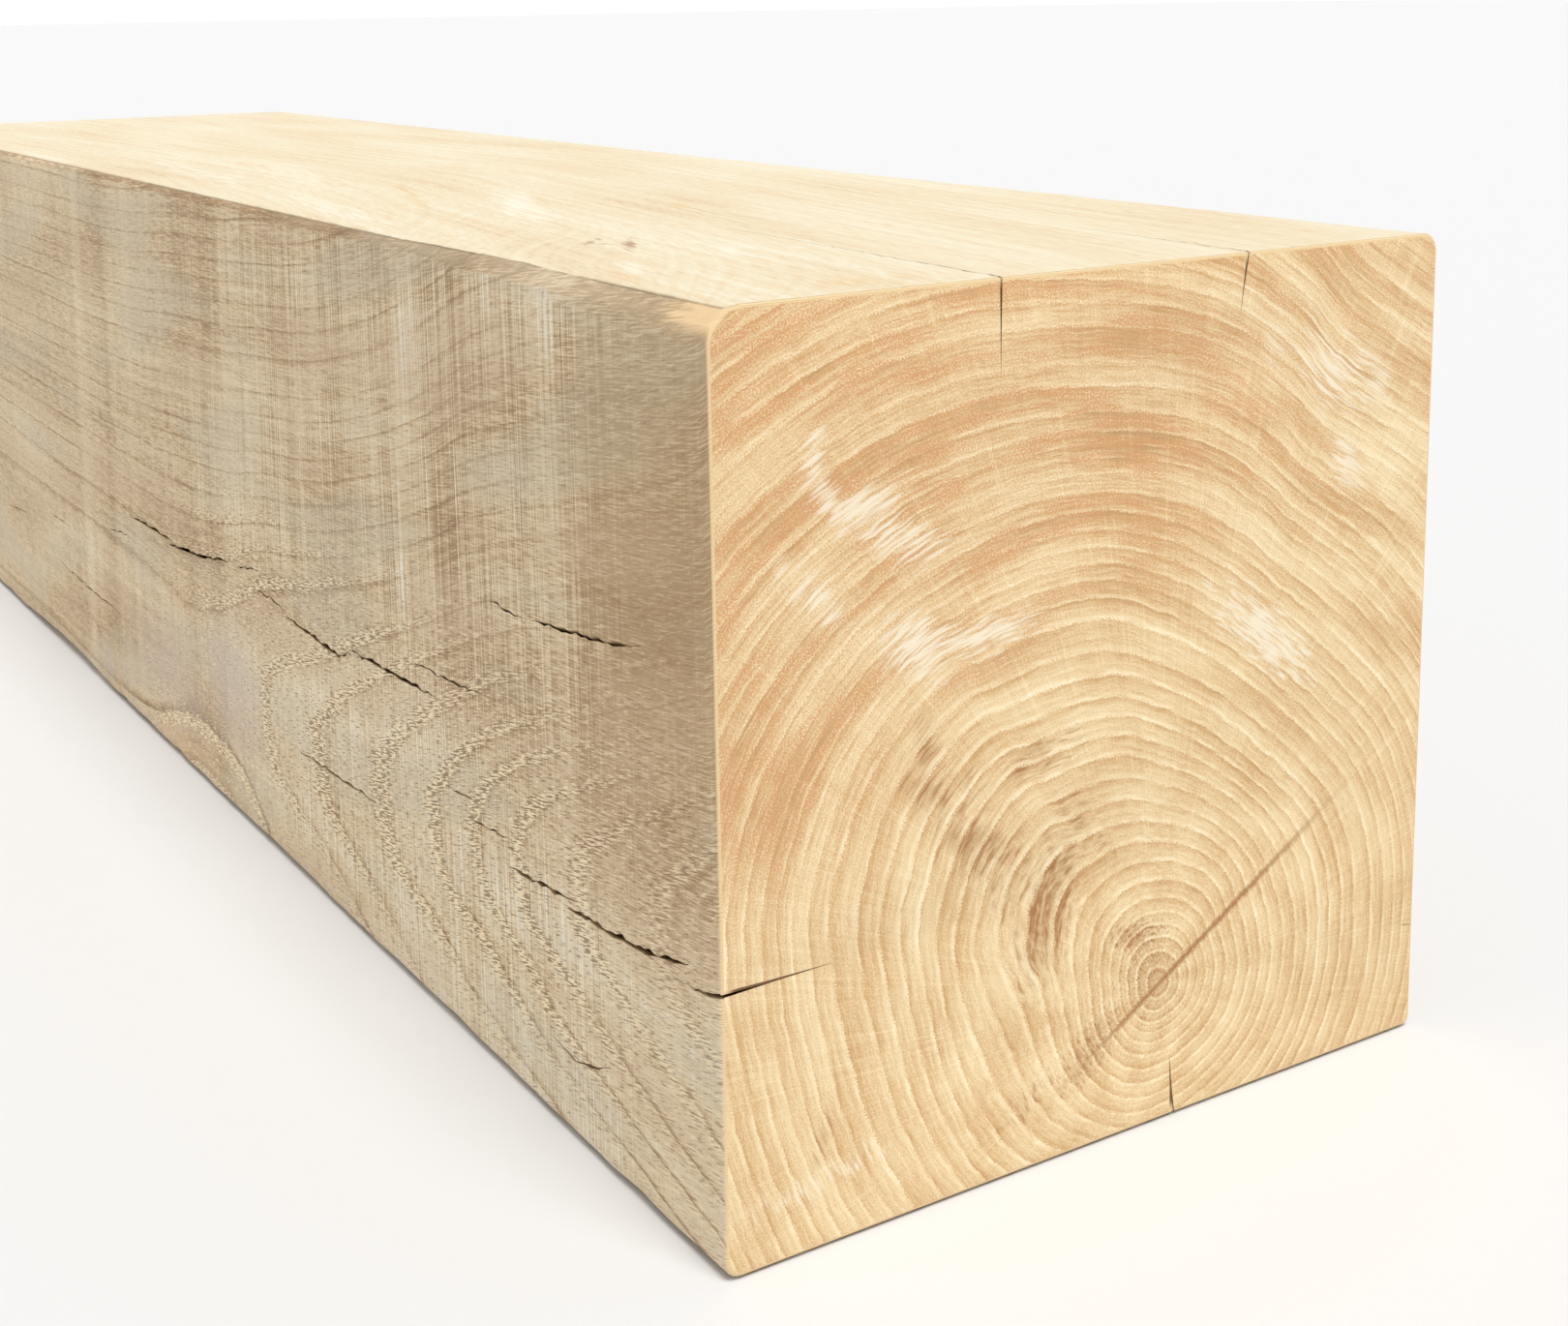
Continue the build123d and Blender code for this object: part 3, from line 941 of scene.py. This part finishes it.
def sawn_faces(oak, colours):
    """Colour and relief of the long faces: fibres and rings along them, and saw lines across them."""
    along, z = oak.from_end, oak.z
    flat = oak.face_noise(8.5, 0.44, 1, 0.78)
    streak = oak.face_noise(120, 2.8)
    ring_streak = (along / 80).vector(oak.even / 0.75).noise(1, 0.6)
    cloud = oak.face_noise(120, 30, 0)
    # The saw lines lean a little far from the near end.
    lean = along + (oak.across - 100) * along.step(120, 320, 0, 0.09)
    saw_fine = (lean / 0.8).vector(oak.across / 75).noise(1, 0.75)
    saw_band = (lean / 9).vector(oak.across / 120).noise()
    sawn = along.step(22, 62, 0.2, 1) * along.step(400, 190, 0.4, 1)
    sawn = sawn * cloud.step(0.36, 0.6, 0.55, 1) * oak.rise.step(0.3, 0.05)
    dense = oak.part.ramp((0, 0.5), (0.03, 0), (0.84, 0), (0.94, 0.6), (0.98, 1), (1, 0.9))
    broken = streak.step(0.34, 0.58, 0.4, 1)
    contour = along.step(60, 140, 0.12, 0.27)
    off_middle = (along - 190).math("ABSOLUTE").step(60, 110, 0.5, 1.25)
    low = z.step(42, 22) * along.step(440, 400) * off_middle
    lightness = (
        0.5
        + (streak - 0.5) * 0.24
        + (flat - 0.5) * sawn.blend(0.8, 0.52)
        + (cloud - 0.5) * 0.3
        + (ring_streak - 0.5) * 0.26
        + (saw_fine - 0.46) * sawn * 0.95
        + saw_fine.step(0.57, 0.7, 0, 0.24) * sawn * along.step(300, 180)
        + (saw_band - 0.5) * sawn * 0.26
        - dense * (broken * contour + low * 0.28)
    )
    front = front_grain(oak, colours, lightness, flat, lean)
    plain = wood_tones(lightness, colours)
    grainy = (
        0.58
        + (streak - 0.5) * 0.55
        + (flat - 0.5) * 0.9
        + (cloud - 0.5) * 0.4
        + (ring_streak - 0.5) * 0.36
    )
    rough = (oak.face_noise(20, 1.5) - 0.5) * 2.2
    # The top's paler tones are painted light; its streaks and knot go over them
    top = grainy.ramp((0, TOP_DARK), (0.32, TOP_SHADE), (0.6, colours.lit_top_wood), (1, TOP_GLEAM))
    for marks, tint in ((TOP_TAN, TAN_STREAK), (TOP_PALE, TOP_GLEAM), (TOP_BROWN, KNOT_BROWN)):
        top = spots(along, oak.y, marks, rough).mix(top, tint)
    face = oak.top.mix(oak.front.mix(plain, front), top)
    face = oak.ends.mix(face, colours.end_wood)
    # Darker with depth in a check: painted shade, and dirt on the walls
    face = oak.check_depth.step(0.15, 3).mix(face, colours.check_dirt_and_shade)
    return face, flat * 0.24 + saw_fine * 0.1


def oak_material(name, paint, colours):
    """Rough bare oak. paint adds the nodes of its colour and relief, from one pattern in the solid."""
    material = bpy.data.materials.new(name)
    material.use_nodes = True
    shade, relief = paint(Oak(material.node_tree), colours)
    normal = relief.fed(relief.node("ShaderNodeBump"), Strength=0.8, Distance=MM, Height=relief)
    inputs = {"Base Color": shade, "Normal": normal, "Roughness": 0.72, "Specular IOR Level": 0.25}
    relief.fed(material.node_tree.nodes["Principled BSDF"], **inputs)
    return material


def placed(name, data, *materials):
    """An object at the origin for a mesh, a lamp or a lens."""
    made = bpy.data.objects.new(name, data)
    bpy.context.scene.collection.objects.link(made)
    for material in materials:
        data.materials.append(material)
    return made


# The lamp: how soft it is, in degrees, and the way to it
LAMP_SPREAD = 30
LAMP_FROM = (0.4, -0.06, 0.9)

# The camera that took the photograph: its place in metres, how far its view turns left, dips and
# leans, in degrees, and how far the picture is moved up, as a share of its width
CAMERA_PLACE = (0.7425, -0.2974, 0.2563)
CAMERA_TURN = 57.91
CAMERA_DIP = 9.91
CAMERA_LEAN = 0.9
PICTURE_SHIFT = -300 / 1620


class OAKBEAM_OT_beam(bpy.types.Operator):
    """Build the sawn beam with its checks, wane and oak grain"""

    bl_idname = "oak_beam.beam"
    bl_label = "Sawn Beam"

    def execute(self, context):
        colours = context.scene.oak_beam_colours
        sides = oak_material("sawn_oak", sawn_faces, colours)
        ends = oak_material("oak_end_grain", end_grain, colours)
        piece = placed("sawn_beam", beam_mesh(context.scene.oak_beam_shape), sides, ends)
        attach(piece, "root")
        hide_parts("beam")
        return {"FINISHED"}


class OAKBEAM_OT_stage(bpy.types.Operator):
    """Lay the pale floor and set the soft lights and the camera"""

    bl_idname = "oak_beam.stage"
    bl_label = "Studio"

    def execute(self, context):
        studio = context.scene.oak_beam_studio
        lay_floor(studio)
        hang_lights(studio)
        set_camera(studio)
        context.scene.view_settings.view_transform = "Standard"
        return {"FINISHED"}


def lay_floor(studio):
    """A wide flat floor just under the beam."""
    mesh = bpy.data.meshes.new("floor")
    reach, drop = 40.0, 0.0004
    corners = [(x * reach, y * reach, -drop) for x, y in ((-1, -1), (1, -1), (1, 1), (-1, 1))]
    mesh.from_pydata(corners, [], [(0, 1, 2, 3)])
    material = bpy.data.materials.new("pale_floor")
    material.use_nodes = True
    shader = material.node_tree.nodes["Principled BSDF"]
    shader.inputs["Base Color"].default_value = (*studio.floor_colour, 1.0)
    shader.inputs["Roughness"].default_value = 0.9
    shader.inputs["Specular IOR Level"].default_value = 0.1
    placed("floor", mesh, material)


def hang_lights(studio):
    """One soft key light from above the end's right side, and even light that the camera sees white."""
    lamp = bpy.data.lights.new("key", "SUN")
    lamp.energy = studio.key_strength
    lamp.angle = math.radians(LAMP_SPREAD)
    key = placed("key", lamp)
    key.rotation_mode = "QUATERNION"
    key.rotation_quaternion = Vector(LAMP_FROM).to_track_quat("Z", "Y")

    world = bpy.data.worlds.new("studio")
    world.use_nodes = True
    bpy.context.scene.world = world
    tree = world.node_tree
    tree.nodes.clear()
    kinds = ("OutputWorld", "MixShader", "LightPath")
    output, mix, path = [tree.nodes.new("ShaderNode" + kind) for kind in kinds]
    for socket, strength in zip(mix.inputs[1:], (studio.fill_strength, 1)):
        light = tree.nodes.new("ShaderNodeBackground")
        light.inputs["Strength"].default_value = strength
        light.inputs["Color"].default_value = (1, 1, 1, 1)
        tree.links.new(light.outputs[0], socket)
    rays = ("Is Camera Ray", "Is Glossy Ray", "Is Transmission Ray")
    seen, glossy, through = [Wire(tree, path.outputs[name]) for name in rays]
    seen = seen.math("MAXIMUM", glossy).math("MAXIMUM", through)
    tree.links.new(seen.socket, mix.inputs[0])
    tree.links.new(mix.outputs[0], output.inputs[0])


def set_camera(studio):
    """The camera, left of the near end and a little above the top face."""
    lens = bpy.data.cameras.new("camera")
    lens.sensor_width = 36
    lens.lens = studio.focal_length
    lens.shift_y = PICTURE_SHIFT
    lens.clip_start = 0.01
    lens.clip_end = 200
    camera = placed("camera", lens)
    turn, dip = math.radians(CAMERA_TURN), math.radians(CAMERA_DIP)
    ahead = Vector((-math.sin(turn) * math.cos(dip), math.cos(turn) * math.cos(dip), -math.sin(dip)))
    lean = Quaternion((0, 0, 1), -math.radians(CAMERA_LEAN))
    camera.location = CAMERA_PLACE
    camera.rotation_mode = "QUATERNION"
    camera.rotation_quaternion = ahead.to_track_quat("-Z", "Y") @ lean
    bpy.context.scene.camera = camera


class OAKBEAM_PT_sidebar(bpy.types.Panel):
    """Panel in the sidebar that lists the beam's operators and settings"""

    bl_idname = "OAKBEAM_PT_sidebar"
    bl_label = "Oak Beam"
    bl_space_type = "VIEW_3D"
    bl_region_type = "UI"
    bl_category = "Oak Beam"

    def draw(self, context):
        layout = self.layout
        for operator in OPERATORS:
            layout.operator(operator.bl_idname)
        for name in SETTINGS:
            group = getattr(context.scene, name)
            box = layout.box()
            for key in group.__annotations__:
                box.prop(group, key)


SETTINGS = {
    "oak_beam_shape": BeamShape,
    "oak_beam_colours": OakColours,
    "oak_beam_studio": StudioSettings,
}
OPERATORS = (OAKBEAM_OT_beam, OAKBEAM_OT_stage)


def register():
    for cls in (*SETTINGS.values(), *OPERATORS, OAKBEAM_PT_sidebar):
        bpy.utils.register_class(cls)
    for name, cls in SETTINGS.items():
        setattr(bpy.types.Scene, name, PointerProperty(type=cls))


def unregister():
    for name in SETTINGS:
        delattr(bpy.types.Scene, name)
    for cls in (OAKBEAM_PT_sidebar, *OPERATORS, *SETTINGS.values()):
        bpy.utils.unregister_class(cls)


def main():
    register()
    bpy.ops.oak_beam.beam()
    bpy.ops.oak_beam.stage()


if __name__ == "__main__":
    main()
